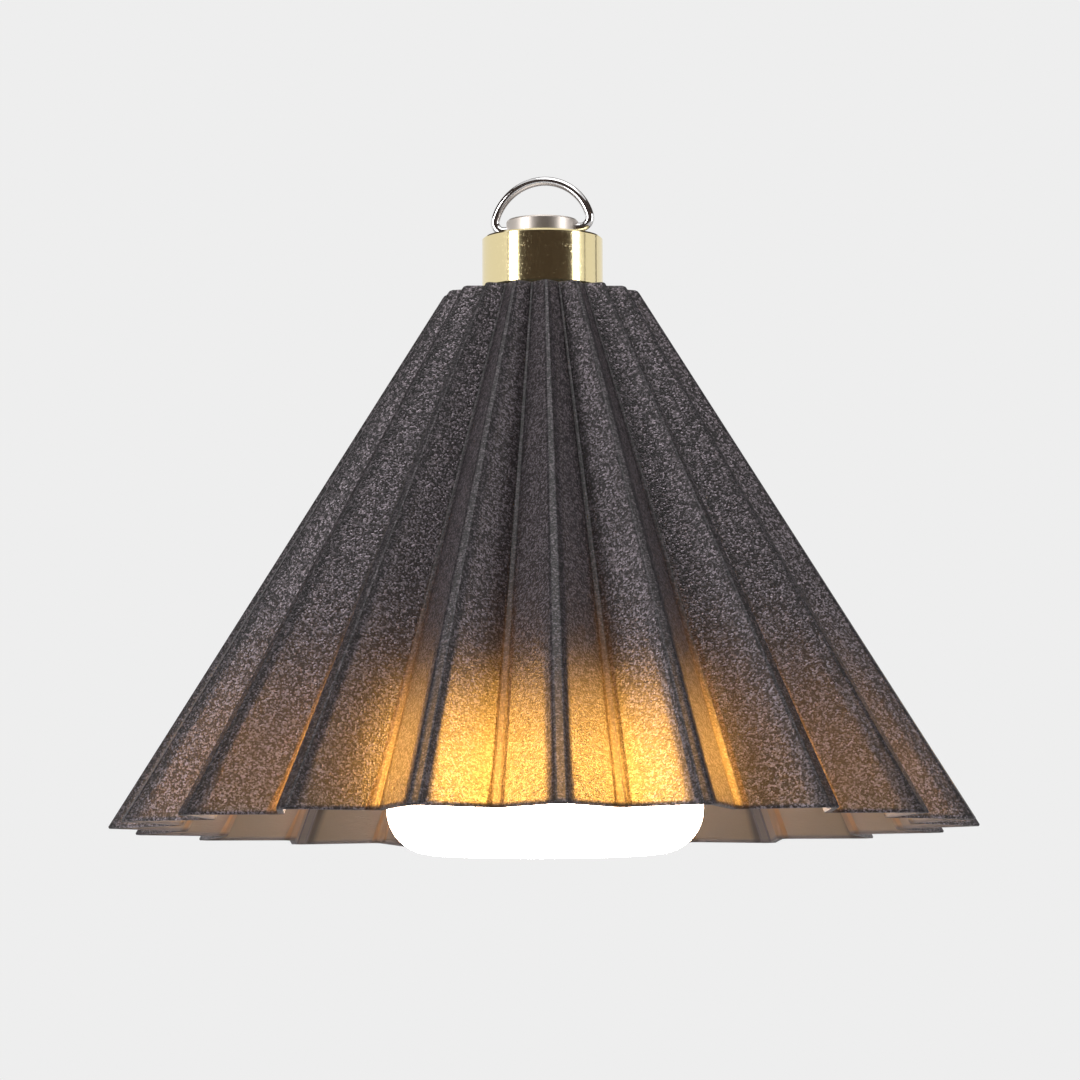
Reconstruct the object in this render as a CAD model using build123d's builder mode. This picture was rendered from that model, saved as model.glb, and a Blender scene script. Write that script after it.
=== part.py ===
from build123d import *
import math
import os

# Pleated hanging lantern: a moulded smoke-grey shade over a rechargeable light with an opal
# diffuser, clamped under a brass collar by a ring screw. Millimetres, +Z up, front towards -Y.
# Z = 0 is the flat underside of the diffuser, and the Z axis is the lantern's axis.

os.makedirs("parts", exist_ok=True)

# ---------------------------------------------------------------- clearances
running_gap = 0.07        # radial, a turning wire in its hole
fit_gap = 0.05            # radial, a tube or screw in its bore
slip_gap = 0.2            # radial, a part dropped into its place
seat_gap = 0.1            # between two parts that rest on each other
cut_margin = 1.0          # how far a cut runs past the face it opens

# ---------------------------------------------------------------- shade
pleat_count = 20
rim_ridge_radius = 100.0
rim_valley_radius = 85.5
top_ridge_radius = 22.7
shade_height = 123.4
shade_wall = 1.5
top_plate = 2.5
ridge_flat = 2.6          # width of the narrow land on each ridge, at the rim
valley_flat = 1.6
first_ridge_turn = 1.94   # degrees from straight ahead towards +X
socket_wall = 1.6         # ring under the top plate that centres the tube
socket_depth = 4.0

# ---------------------------------------------------------------- collar and ring screw
gasket_thickness = 1.0
gasket_radius = 13.0
collar_radius = 14.0
collar_height = 12.4
collar_chamfer = 0.5
thread_radius = 3.175     # quarter-inch screw
head_radius = 8.35
head_height = 4.1
head_chamfer = 0.4
shank_end_room = 0.3      # under the shank's end in its blind hole
ring_turn = 17.0          # degrees that the ring is turned about Z, left end to the back
wire_radius = 1.05
ring_half_width = 11.9
ring_rise = 11.35         # top of the wire's centre line above its straight bar
ring_corner = 2.2
wire_end_gap = 0.4        # the bent wire's two ends meet inside the head

# ---------------------------------------------------------------- body tube and battery
tube_radius = 14.0
tube_wall = 2.0
cap_flange = 2.0
cap_plug_depth = 4.5
cap_floor = 1.0
cell_radius = 9.2
cell_length = 65.2
cell_nub_radius = 3.6
cell_nub_height = 0.8
cell_edge = 0.6
sleeve_room = 0.3         # radial, the sleeve in the tube
sleeve_top = 1.2
contact_radius = 6.0
contact_thickness = 0.5
contact_stud_radius = 1.5
leaf_width = 5.0
leaf_length = 12.0
leaf_rise = 2.2
leaf_tip = 1.5

# ---------------------------------------------------------------- light head
diffuser_radius = 36.25
diffuser_height = 35.0    # up to its shoulder
diffuser_wall = 2.0
diffuser_corner = 12.0
neck_depth = 4.0          # of the diffuser's neck inside the head
head_skirt_wall = 1.85
head_board_room = 0.85    # over the driver board, up to the corner under the head's shoulder
head_cone_rise = 9.5
head_neck_length = 5.0
head_neck_wall = 3.0
tube_insertion = 8.5      # of the tube in the head, down from the neck's top
head_upper_wall = 3.25
shoulder_bevel = 2.0
seal_section = 0.7
seal_squeeze = 0.15       # how far the seal's groove leaves it standing out of the neck
board_thickness = 1.6
neck_board_gap = 0.5      # between the diffuser's neck and the LED board
led_board_margin = 3.4    # of the LED board's edge inside the skirt
led_ring_radii = (9.0, 21.0)
led_ring_counts = (4, 12)
led_size = (3.5, 2.8, 0.8)
spreader_thickness = 2.0
driver_board_margin = 5.0 # of the driver board's edge inside the head
standoff_height = 6.2
standoff_across_flats = 4.5
screw_edge_distance = 4.5 # of the screws' centres inside a board's edge
screw_count = 3
screw_radius = 1.2
screw_head_radius = 2.25
screw_head_height = 1.4
screw_first_angle = 45.0  # degrees, halfway between the button and the charging port
screw_tip = 2.5

# ---------------------------------------------------------------- charging port, at the back
socket_width = 8.94
socket_height = 3.26
socket_length = 7.3
socket_shell = 0.35
socket_cavity = 5.0
socket_tongue = 0.7
socket_setback = 0.8      # of the socket's mouth inside the head's wall
port_margin = 0.35        # of the opening in the head round the socket
flap_width = 15.0
flap_height = 7.6
flap_depth = 1.55
flap_plug_depth = 1.5
flap_plug_height = 1.9
flap_plug_width = 7.4
flap_room = 0.35          # all round the flap in its pocket

# ---------------------------------------------------------------- power button, at the right
button_radius = 3.1
button_proud = 1.0
button_flange = 0.9       # of the retaining flange beyond the button's side
button_flange_thickness = 1.0
button_travel = 0.7
switch_size = 6.0
switch_height = 3.4
switch_depth = 3.5
plunger_radius = 1.25
plunger_length = 1.4

# ---------------------------------------------------------------- the light, from the bottom up
neck_radius = diffuser_radius - head_skirt_wall - slip_gap
skirt_bore = diffuser_radius - head_skirt_wall
upper_bore = diffuser_radius - head_upper_wall
tube_bore = tube_radius - tube_wall
led_board_radius = skirt_bore - led_board_margin
driver_board_radius = upper_bore - driver_board_margin
led_screw_circle = led_board_radius - screw_edge_distance
driver_screw_circle = driver_board_radius - screw_edge_distance
led_screw_angle = screw_first_angle + 180 / screw_count

diffuser_neck_top = diffuser_height + neck_depth
skirt_bottom = diffuser_height + seat_gap
led_board_bottom = diffuser_neck_top + neck_board_gap
spreader_bottom = led_board_bottom + board_thickness
spreader_top = spreader_bottom + spreader_thickness
driver_bottom = spreader_top + standoff_height
driver_top = driver_bottom + board_thickness
port_height = driver_bottom - socket_height / 2
head_shoulder = driver_top + head_board_room + head_upper_wall
head_neck_start = head_shoulder + head_cone_rise
head_neck_top = head_neck_start + head_neck_length
tube_seat = head_neck_top - tube_insertion

sleeve_bottom = driver_top + slip_gap
cell_bottom = driver_top + leaf_rise + seat_gap
cell_top = cell_bottom + cell_length
contact_top = cell_top + seat_gap + contact_thickness
sleeve_top_height = contact_top + seat_gap + sleeve_top
cap_plug_bottom = sleeve_top_height + seat_gap
tube_top = cap_plug_bottom + cap_plug_depth
plate_underside = tube_top + cap_flange

# ---------------------------------------------------------------- the shade and what clamps it
top_height = plate_underside + top_plate
rim_height = top_height - shade_height
rim_to_apex = shade_height / (1 - top_ridge_radius / rim_ridge_radius)
apex_height = rim_height + rim_to_apex
collar_bottom = top_height + gasket_thickness
collar_top = collar_bottom + collar_height
wire_height = collar_top + head_height / 2
screw_hole_bottom = cap_plug_bottom + cap_floor


# ================================================================ pleated shade
# One moulding. Ridges, valleys and their narrow flats all run to one point on the axis, so every
# panel is flat. The inner surface is the outer one lowered along the axis, which gives each panel
# the same wall. The rim end is open and the top is closed by a plate with the screw's hole.

pleat_angle = 360 / pleat_count


def pleat_corners(height, drop):
    """Corners of the zigzag outline at a height, with the whole surface lowered by drop."""
    share = (apex_height - drop - height) / rim_to_apex
    corners = []
    for half_pleat in range(2 * pleat_count):
        on_ridge = half_pleat % 2 == 0
        radius = rim_ridge_radius if on_ridge else rim_valley_radius
        flat = ridge_flat if on_ridge else valley_flat
        angle = math.radians(first_ridge_turn - 90 + half_pleat * pleat_angle / 2)
        for side in (-flat / 2, flat / 2):
            x = radius * math.cos(angle) - side * math.sin(angle)
            y = radius * math.sin(angle) + side * math.cos(angle)
            corners.append((share * x, share * y, height))
    return corners


def pleated_solid(bottom, top, drop):
    """Closed solid between two heights, with flat panels from corner to corner as its sides."""
    low = pleat_corners(bottom, drop)
    high = pleat_corners(top, drop)
    faces = [Face(Wire.make_polygon(low)), Face(Wire.make_polygon(high))]
    for corner in range(len(low)):
        panel = [low[corner - 1], low[corner], high[corner], high[corner - 1]]
        faces.append(Face(Wire.make_polygon(panel)))
    return Solid(Shell(faces))


ridge_to_valley_x = rim_ridge_radius - rim_valley_radius * math.cos(math.radians(pleat_angle / 2))
ridge_to_valley_y = rim_valley_radius * math.sin(math.radians(pleat_angle / 2))
panel_reach = rim_ridge_radius * math.sin(math.atan2(ridge_to_valley_y, ridge_to_valley_x))
panel_slope = math.atan2(panel_reach, rim_to_apex)
wall_drop = shade_wall / math.sin(panel_slope)

outer_form = pleated_solid(rim_height, top_height, 0)
inner_form = pleated_solid(rim_height - cut_margin, plate_underside, wall_drop)

with BuildPart() as pleated_shade:
    add(outer_form)
    add(inner_form, mode=Mode.SUBTRACT)
    with BuildSketch(Plane.XY.offset(plate_underside - socket_depth)):
        Circle(tube_radius + slip_gap + socket_wall)
        Circle(tube_radius + slip_gap, mode=Mode.SUBTRACT)
    extrude(amount=socket_depth)
    with Locations((0, 0, top_height)):
        Hole(thread_radius + slip_gap, depth=2 * top_plate)
pleated_shade.part.label = "pleated_shade"
export_step(pleated_shade.part, "parts/pleated_shade.step")


# ================================================================ brass collar and its gasket
# A turned brass spacer on a thin rubber washer, both with a clear hole for the screw.

with BuildPart() as collar_gasket:
    with BuildSketch(Plane.XY.offset(top_height)):
        Circle(gasket_radius)
        Circle(thread_radius + slip_gap, mode=Mode.SUBTRACT)
    extrude(amount=gasket_thickness)
collar_gasket.part.label = "collar_gasket"
export_step(collar_gasket.part, "parts/collar_gasket.step")

with BuildPart() as brass_collar:
    with BuildSketch(Plane.XY.offset(collar_bottom)):
        Circle(collar_radius)
        Circle(thread_radius + slip_gap, mode=Mode.SUBTRACT)
    extrude(amount=collar_height)
    outer_edges = brass_collar.edges().filter_by(GeomType.CIRCLE).sort_by(SortBy.RADIUS)[-2:]
    chamfer(outer_edges, collar_chamfer)
brass_collar.part.label = "brass_collar"
export_step(brass_collar.part, "parts/brass_collar.step")


# ================================================================ ring screw
# A turned screw with a wide flat head. Its shank passes the collar and the shade's plate into the
# cap of the body tube, and the ring's wire turns in a hole across the head.

bar_direction = Vector(1, 0, 0).rotate(Axis.Z, -ring_turn)
ring_plane = Plane(origin=(0, 0, wire_height), x_dir=bar_direction, z_dir=bar_direction.rotate(Axis.Z, -90))
across_plane = Plane(origin=(0, 0, wire_height), z_dir=bar_direction)

with BuildPart() as ring_screw:
    with BuildSketch(Plane.XY.offset(collar_top)):
        Circle(head_radius)
    extrude(amount=head_height)
    chamfer(ring_screw.edges().group_by(Axis.Z)[-1], head_chamfer)
    with BuildSketch(Plane.XY.offset(collar_top)):
        Circle(thread_radius)
    extrude(amount=screw_hole_bottom + shank_end_room - collar_top)
    chamfer(ring_screw.edges().group_by(Axis.Z)[0], head_chamfer)
    with BuildSketch(across_plane):
        Circle(wire_radius + running_gap)
    extrude(amount=head_radius + cut_margin, both=True, mode=Mode.SUBTRACT)
ring_screw.part.label = "ring_screw"
export_step(ring_screw.part, "parts/ring_screw.step")


# ================================================================ hanging ring
# Steel wire bent to a D. The straight bar runs through the screw's head, where its ends meet.

arc_radius = (ring_half_width ** 2 + ring_rise ** 2) / (2 * ring_rise)
arc_centre = ring_rise - arc_radius
corner_x = math.sqrt((arc_radius - ring_corner) ** 2 - (ring_corner - arc_centre) ** 2)
corner_end = math.degrees(math.atan2(ring_corner - arc_centre, corner_x))
bow_end = Vector(arc_radius, 0, 0).rotate(Axis.Z, corner_end) + Vector(0, arc_centre, 0)

with BuildPart() as hanging_ring:
    with BuildLine(ring_plane) as ring_path:
        right_bar = Line((wire_end_gap / 2, 0), (corner_x, 0))
        CenterArc((corner_x, ring_corner), ring_corner, -90, 90 + corner_end)
        ThreePointArc((bow_end.X, bow_end.Y), (0, ring_rise), (-bow_end.X, bow_end.Y))
        CenterArc((-corner_x, ring_corner), ring_corner, 180 - corner_end, 90 + corner_end)
        Line((-corner_x, 0), (-wire_end_gap / 2, 0))
    with BuildSketch(Plane(origin=right_bar @ 0, z_dir=bar_direction)):
        Circle(wire_radius)
    sweep()
hanging_ring.part.label = "hanging_ring"
export_step(hanging_ring.part, "parts/hanging_ring.step")


# ================================================================ body tube and its cap
# Anodised aluminium. The cap closes the tube's top, carries the shade's plate and holds the
# ring screw's thread in a blind hole.

with BuildPart() as body_tube:
    with BuildSketch(Plane.XY.offset(tube_seat)):
        Circle(tube_radius)
        Circle(tube_bore, mode=Mode.SUBTRACT)
    extrude(amount=tube_top - tube_seat)
body_tube.part.label = "body_tube"
export_step(body_tube.part, "parts/body_tube.step")

with BuildPart() as tube_cap:
    with BuildSketch(Plane.XY.offset(tube_top)):
        Circle(tube_radius)
    extrude(amount=cap_flange)
    with BuildSketch(Plane.XY.offset(tube_top)):
        Circle(tube_bore - fit_gap)
    extrude(amount=-cap_plug_depth)
    with Locations((0, 0, plate_underside)):
        Hole(thread_radius + fit_gap, depth=plate_underside - screw_hole_bottom)
tube_cap.part.label = "tube_cap"
export_step(tube_cap.part, "parts/tube_cap.step")


# ================================================================ battery, its sleeve and contacts
# A standard round cell in an insulating sleeve. A riveted disc meets its nub, and a bent leaf on
# the driver board meets its base.

with BuildPart() as battery_cell:
    with BuildSketch(Plane.XY.offset(cell_bottom)):
        Circle(cell_radius)
    extrude(amount=cell_length - cell_nub_height)
    chamfer(battery_cell.edges().filter_by(GeomType.CIRCLE), cell_edge)
    with BuildSketch(Plane.XY.offset(cell_top - cell_nub_height)):
        Circle(cell_nub_radius)
    extrude(amount=cell_nub_height)
battery_cell.part.label = "battery_cell"
export_step(battery_cell.part, "parts/battery_cell.step")

with BuildPart() as battery_sleeve:
    with BuildSketch(Plane.XY.offset(sleeve_bottom)):
        Circle(tube_bore - sleeve_room)
    extrude(amount=sleeve_top_height - sleeve_bottom)
    with BuildSketch(Plane.XY.offset(sleeve_bottom)):
        Circle(cell_radius + slip_gap)
    extrude(amount=sleeve_top_height - sleeve_top - sleeve_bottom, mode=Mode.SUBTRACT)
    with Locations((0, 0, sleeve_top_height)):
        Hole(contact_stud_radius + fit_gap, depth=2 * sleeve_top)
battery_sleeve.part.label = "battery_sleeve"
export_step(battery_sleeve.part, "parts/battery_sleeve.step")

with BuildPart() as top_contact:
    with BuildSketch(Plane.XY.offset(contact_top)):
        Circle(contact_radius)
    extrude(amount=-contact_thickness)
    with BuildSketch(Plane.XY.offset(contact_top)):
        Circle(contact_stud_radius)
    extrude(amount=seat_gap + sleeve_top)
top_contact.part.label = "top_contact"
export_step(top_contact.part, "parts/top_contact.step")

leaf_half = leaf_length / 2
leaf_top = driver_top + leaf_rise
leaf_slope = math.atan2(leaf_rise, leaf_half + leaf_half / 2)
leaf_bend = contact_thickness * math.tan(leaf_slope / 2)
leaf_root = contact_thickness / math.tan(leaf_slope / 2)

with BuildPart() as bottom_contact:
    with BuildSketch(Plane.XZ.offset(-leaf_width / 2)):
        with BuildLine():
            Polyline(
                (leaf_half, driver_top),
                (-leaf_half, driver_top),
                (leaf_half / 2, leaf_top),
                (leaf_half / 2 + leaf_tip, leaf_top),
                (leaf_half / 2 + leaf_tip, leaf_top - contact_thickness),
                (leaf_half / 2 + leaf_bend, leaf_top - contact_thickness),
                (leaf_root - leaf_half, driver_top + contact_thickness),
                (leaf_half, driver_top + contact_thickness),
                close=True,
            )
        make_face()
    extrude(amount=leaf_width)
bottom_contact.part.label = "bottom_contact"
export_step(bottom_contact.part, "parts/bottom_contact.step")


# ================================================================ diffuser and its seal
# A moulded opal drum with a narrower neck that plugs into the head, over a square rubber seal.
# Inside, its bottom corner is cut by two straight facets.

neck_bore = neck_radius - diffuser_wall
drum_bore = diffuser_radius - diffuser_wall
inner_corner = diffuser_corner - diffuser_wall
corner_step = inner_corner * (1 - math.sqrt(0.5))
seal_radius = neck_radius + seal_squeeze - seal_section
seal_height = diffuser_height + neck_depth / 2
seal_room = seal_section + fit_gap

with BuildPart() as diffuser:
    with BuildSketch(Plane.XZ):
        with BuildLine():
            Line((0, 0), (diffuser_radius - diffuser_corner, 0))
            JernArc((diffuser_radius - diffuser_corner, 0), (1, 0), diffuser_corner, 90)
            Polyline(
                (diffuser_radius, diffuser_corner),
                (diffuser_radius, diffuser_height),
                (neck_radius, diffuser_height),
                (neck_radius, diffuser_neck_top),
                (neck_bore, diffuser_neck_top),
                (neck_bore, diffuser_height),
                (drum_bore, diffuser_height - diffuser_wall),
                (drum_bore, diffuser_corner),
                (drum_bore - corner_step, diffuser_wall + corner_step),
                (drum_bore - inner_corner, diffuser_wall),
                (0, diffuser_wall),
                (0, 0),
            )
        make_face()
    revolve(axis=Axis.Z)
    with BuildSketch(Plane.XZ):
        with Locations((seal_radius, seal_height)):
            Rectangle(2 * seal_room, 2 * seal_room)
        with Locations((seal_radius + seal_room, seal_height)):
            Rectangle(2 * seal_room, 2 * seal_room)
    revolve(axis=Axis.Z, mode=Mode.SUBTRACT)
diffuser.part.label = "diffuser"
export_step(diffuser.part, "parts/diffuser.step")

with BuildPart() as diffuser_seal:
    with BuildSketch(Plane.XZ):
        with Locations((seal_radius, seal_height)):
            Rectangle(2 * seal_section, 2 * seal_section)
    revolve(axis=Axis.Z)
diffuser_seal.part.label = "diffuser_seal"
export_step(diffuser_seal.part, "parts/diffuser_seal.step")


# ================================================================ head housing
# Die-cast aluminium. Its skirt takes the diffuser's neck, its shoulder seats the heat spreader
# and its neck holds the tube. The charging port is at the back and the button at the right.

back_wall = Plane(origin=(0, 0, port_height), x_dir=(-1, 0, 0), z_dir=(0, 1, 0))
right_wall = Plane(origin=(0, 0, port_height), x_dir=(0, 1, 0), z_dir=(1, 0, 0))
pocket_floor = diffuser_radius - flap_depth - seat_gap

with BuildPart() as head_housing:
    with BuildSketch(Plane.XZ):
        with BuildLine():
            Polyline(
                (skirt_bore, skirt_bottom),
                (diffuser_radius, skirt_bottom),
                (diffuser_radius, head_shoulder - shoulder_bevel),
                (diffuser_radius - shoulder_bevel, head_shoulder),
                (tube_radius + head_neck_wall, head_neck_start),
                (tube_radius + head_neck_wall, head_neck_top),
                (tube_radius + fit_gap, head_neck_top),
                (tube_radius + fit_gap, tube_seat - seat_gap),
                (tube_bore + slip_gap, tube_seat - seat_gap),
                (tube_bore + slip_gap, tube_seat - tube_wall),
                (upper_bore, head_shoulder - head_upper_wall),
                (upper_bore, spreader_top + seat_gap),
                (skirt_bore, spreader_top + seat_gap),
                close=True,
            )
        make_face()
    revolve(axis=Axis.Z)
    with BuildSketch(back_wall.offset(pocket_floor)):
        Rectangle(flap_width + 2 * flap_room, flap_height + 2 * flap_room)
    extrude(amount=diffuser_radius, mode=Mode.SUBTRACT)
    with BuildSketch(back_wall):
        RectangleRounded(
            socket_width + 2 * port_margin,
            socket_height + 2 * port_margin,
            socket_height / 2,
        )
    extrude(amount=diffuser_radius, mode=Mode.SUBTRACT)
    with BuildSketch(right_wall):
        Circle(button_radius + slip_gap)
    extrude(amount=2 * diffuser_radius, mode=Mode.SUBTRACT)
head_housing.part.label = "head_housing"
export_step(head_housing.part, "parts/head_housing.step")


# ================================================================ heat spreader and LED board
# An aluminium disc against the head's shoulder, with the round LED board screwed up to it.

with BuildPart() as heat_spreader:
    with BuildSketch(Plane.XY.offset(spreader_bottom)):
        Circle(skirt_bore - slip_gap)
        with PolarLocations(led_screw_circle, screw_count, start_angle=led_screw_angle):
            Circle(screw_radius + fit_gap, mode=Mode.SUBTRACT)
    extrude(amount=spreader_thickness)
heat_spreader.part.label = "heat_spreader"
export_step(heat_spreader.part, "parts/heat_spreader.step")

with BuildPart() as led_board:
    with BuildSketch(Plane.XY.offset(led_board_bottom)):
        Circle(led_board_radius)
        with PolarLocations(led_screw_circle, screw_count, start_angle=led_screw_angle):
            Circle(screw_radius + slip_gap, mode=Mode.SUBTRACT)
    extrude(amount=board_thickness)
led_board.part.label = "led_board"
export_step(led_board.part, "parts/led_board.step")

with BuildPart() as led_chips:
    with BuildSketch(Plane.XY.offset(led_board_bottom)):
        for ring_radius, ring_count in zip(led_ring_radii, led_ring_counts):
            with PolarLocations(ring_radius, ring_count):
                Rectangle(led_size[0], led_size[1])
    extrude(amount=-led_size[2])
led_chips.part.label = "led_chips"
export_step(led_chips.part, "parts/led_chips.step")

with BuildPart() as led_board_screws:
    with BuildSketch(Plane.XY.offset(led_board_bottom)):
        with PolarLocations(led_screw_circle, screw_count, start_angle=led_screw_angle):
            Circle(screw_head_radius)
    extrude(amount=-screw_head_height)
    with BuildSketch(Plane.XY.offset(led_board_bottom)):
        with PolarLocations(led_screw_circle, screw_count, start_angle=led_screw_angle):
            Circle(screw_radius)
    extrude(amount=board_thickness + spreader_thickness)
led_board_screws.part.label = "led_board_screws"
export_step(led_board_screws.part, "parts/led_board_screws.step")


# ================================================================ driver board
# It stands on hexagonal pillars over the heat spreader and carries the charging socket and the
# switch on its underside, and the battery's leaf contact on top.

with BuildPart() as standoffs:
    with BuildSketch(Plane.XY.offset(spreader_top)):
        with PolarLocations(driver_screw_circle, screw_count, start_angle=screw_first_angle):
            RegularPolygon(standoff_across_flats / 2, 6, major_radius=False)
            Circle(screw_radius + fit_gap, mode=Mode.SUBTRACT)
    extrude(amount=standoff_height)
standoffs.part.label = "standoffs"
export_step(standoffs.part, "parts/standoffs.step")

with BuildPart() as driver_board:
    with BuildSketch(Plane.XY.offset(driver_bottom)):
        Circle(driver_board_radius)
        with PolarLocations(driver_screw_circle, screw_count, start_angle=screw_first_angle):
            Circle(screw_radius + slip_gap, mode=Mode.SUBTRACT)
    extrude(amount=board_thickness)
driver_board.part.label = "driver_board"
export_step(driver_board.part, "parts/driver_board.step")

with BuildPart() as driver_screws:
    with BuildSketch(Plane.XY.offset(driver_top)):
        with PolarLocations(driver_screw_circle, screw_count, start_angle=screw_first_angle):
            Circle(screw_head_radius)
    extrude(amount=screw_head_height)
    with BuildSketch(Plane.XY.offset(driver_top)):
        with PolarLocations(driver_screw_circle, screw_count, start_angle=screw_first_angle):
            Circle(screw_radius)
    extrude(amount=-board_thickness - screw_tip)
driver_screws.part.label = "driver_screws"
export_step(driver_screws.part, "parts/driver_screws.step")


# ================================================================ charging socket and its cover
# The socket's steel shell with its tongue sits behind the opening in the head. A rubber flap
# fills the pocket over it and tips out about its lower outer edge.

socket_mouth = upper_bore - socket_setback

with BuildPart() as charging_socket:
    with BuildSketch(back_wall.offset(socket_mouth)):
        RectangleRounded(socket_width, socket_height - seat_gap, socket_height / 2 - seat_gap)
    extrude(amount=-socket_length)
    with BuildSketch(back_wall.offset(socket_mouth)):
        RectangleRounded(
            socket_width - 2 * socket_shell,
            socket_height - seat_gap - 2 * socket_shell,
            socket_height / 2 - seat_gap - socket_shell,
        )
    extrude(amount=-socket_cavity, mode=Mode.SUBTRACT)
    with BuildSketch(back_wall.offset(socket_mouth - socket_cavity)):
        Rectangle(socket_width - 4 * socket_tongue, socket_tongue)
    extrude(amount=socket_cavity - socket_tongue)
charging_socket.part.label = "charging_socket"
export_step(charging_socket.part, "parts/charging_socket.step")

with BuildPart() as port_flap:
    with BuildSketch(Plane.XY.offset(port_height - flap_height / 2)):
        Circle(diffuser_radius)
    extrude(amount=flap_height)
    with BuildSketch(back_wall.offset(diffuser_radius - flap_depth)):
        Rectangle(flap_width, flap_height)
    extrude(amount=2 * flap_depth, mode=Mode.INTERSECT)
    with BuildSketch(back_wall.offset(diffuser_radius - flap_depth)):
        with Locations((0, -(socket_height - flap_plug_height) / 2)):
            RectangleRounded(flap_plug_width, flap_plug_height, flap_plug_height / 2 - fit_gap)
    extrude(amount=-flap_plug_depth)
port_flap.part.label = "port_flap"
export_step(port_flap.part, "parts/port_flap.step")


# ================================================================ power button and its switch
# The button slides in the head's side wall. A flange behind the wall keeps it in, and its stem
# ends just short of the switch's plunger.

flange_face = math.sqrt(upper_bore ** 2 - (button_radius + button_flange) ** 2) - seat_gap
button_back = flange_face - button_flange_thickness
button_face = diffuser_radius + button_proud
plunger_tip = button_back - button_travel - seat_gap
switch_front = plunger_tip - plunger_length
switch_top = driver_bottom - port_height

with BuildPart() as power_button:
    with BuildSketch(right_wall.offset(button_back)):
        Circle(button_radius + button_flange)
    extrude(amount=button_flange_thickness)
    with BuildSketch(right_wall.offset(button_back)):
        Circle(button_radius)
    extrude(amount=button_face - button_back)
    chamfer(power_button.edges().sort_by(Axis.X)[-1], button_proud / 2)
power_button.part.label = "power_button"
export_step(power_button.part, "parts/power_button.step")

with BuildPart() as button_switch:
    with BuildSketch(right_wall.offset(switch_front)):
        with Locations((0, switch_top - switch_height / 2)):
            Rectangle(switch_size, switch_height)
    extrude(amount=-switch_depth)
    with BuildSketch(right_wall.offset(switch_front)):
        Circle(plunger_radius)
    extrude(amount=plunger_length)
button_switch.part.label = "button_switch"
export_step(button_switch.part, "parts/button_switch.step")
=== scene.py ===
import math

import bmesh
import bpy
from mathutils import Matrix, Vector


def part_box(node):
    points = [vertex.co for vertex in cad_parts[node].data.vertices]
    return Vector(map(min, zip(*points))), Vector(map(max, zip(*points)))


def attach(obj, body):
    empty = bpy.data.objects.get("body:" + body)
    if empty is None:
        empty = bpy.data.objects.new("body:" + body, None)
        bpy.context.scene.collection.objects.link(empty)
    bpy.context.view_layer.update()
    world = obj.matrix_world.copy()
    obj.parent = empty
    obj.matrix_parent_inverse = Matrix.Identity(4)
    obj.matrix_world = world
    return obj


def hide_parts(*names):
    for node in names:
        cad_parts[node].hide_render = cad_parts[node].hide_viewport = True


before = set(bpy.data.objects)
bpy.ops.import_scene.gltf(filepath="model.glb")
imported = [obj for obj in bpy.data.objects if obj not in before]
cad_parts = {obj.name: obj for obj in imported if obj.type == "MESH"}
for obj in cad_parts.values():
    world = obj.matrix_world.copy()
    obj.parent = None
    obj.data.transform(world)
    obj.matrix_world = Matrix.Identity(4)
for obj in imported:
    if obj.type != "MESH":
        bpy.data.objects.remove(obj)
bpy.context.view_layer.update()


# ======================================================================== camera
# A long lens a little below the rim, tipped up at the lantern, as the photograph was taken.
# The place and the tilt were fitted to the ends of the shade's ridges and valleys.

camera_place = Vector((-0.00089, -1.05224, -0.04655))
camera_pitch = 0.1124
camera_roll = -0.0047

camera_data = bpy.data.cameras.new("camera")
camera_data.sensor_width = 36.0
camera_data.lens = 153.02
camera = bpy.data.objects.new("camera", camera_data)
camera.matrix_world = (
    Matrix.Translation(camera_place)
    @ Matrix.Rotation(math.pi / 2 + camera_pitch, 4, "X")
    @ Matrix.Rotation(camera_roll, 4, "Z")
)
bpy.context.scene.collection.objects.link(camera)
bpy.context.scene.camera = camera
bpy.context.scene.view_settings.view_transform = "Standard"


# ======================================================================== pleated shade
# One injection moulding of smoke-tinted plastic: twenty pleats that all run to one point above the
# collar, 1.5 mm thick, with a narrow flat on each ridge and valley. It is leather grained outside
# and satin inside, and glows where the diffuser is close behind it. Higher up the light through it is
# faded out as a painted shade, its skin has painted shade at the ridges and valleys, and some pebbles
# have a painted glint.

shade_low, shade_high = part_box("pleated_shade")
pleats = 20
ridge_radius = 0.100
valley_radius = 0.0855
top_radius = 0.0227
ridge_land = 0.0026
valley_land = 0.0016
land_rounding = 0.0004
first_ridge = math.radians(1.94 - 90)
wall = 0.0015
plate = 0.0025
rim_rounding = 0.00035
top_rounding = 0.0008
screw_hole = 0.003375
corners_per_pleat = 4
rounding_steps = 4
sharp_edge = math.radians(28)
seam_width = 1e-6
# The rows of the top's rounded edge, as (down from the top, inwards) in shares of its rounding.
top_edge_rows = ((0.0, 1.3), (0.3, 0.55), (1.0, 0.0))

rim_to_apex = (shade_high.z - shade_low.z) / (1 - top_radius / ridge_radius)
pleat_run = ridge_radius - valley_radius * math.cos(math.pi / pleats)
pleat_step = valley_radius * math.sin(math.pi / pleats)
panel_reach = ridge_radius * math.sin(math.atan2(pleat_step, pleat_run))
wall_drop = wall / math.sin(math.atan2(panel_reach, rim_to_apex))

shade_sizes = {
    "Pleats": pleats, "Ridge Radius": ridge_radius, "Valley Radius": valley_radius,
    "Ridge Land": ridge_land, "Valley Land": valley_land, "First Ridge": first_ridge,
    "Land Rounding": land_rounding, "Rim Height": shade_low.z, "Top Height": shade_high.z,
    "Rim To Apex": rim_to_apex, "Wall Drop": wall_drop, "Plate": plate,
    "Rim Rounding": rim_rounding, "Top Rounding": top_rounding, "Screw Hole": screw_hole,
}
corner_sizes = ("Pleats", "Ridge Radius", "Valley Radius", "Ridge Land", "Valley Land", "First Ridge")


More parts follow.
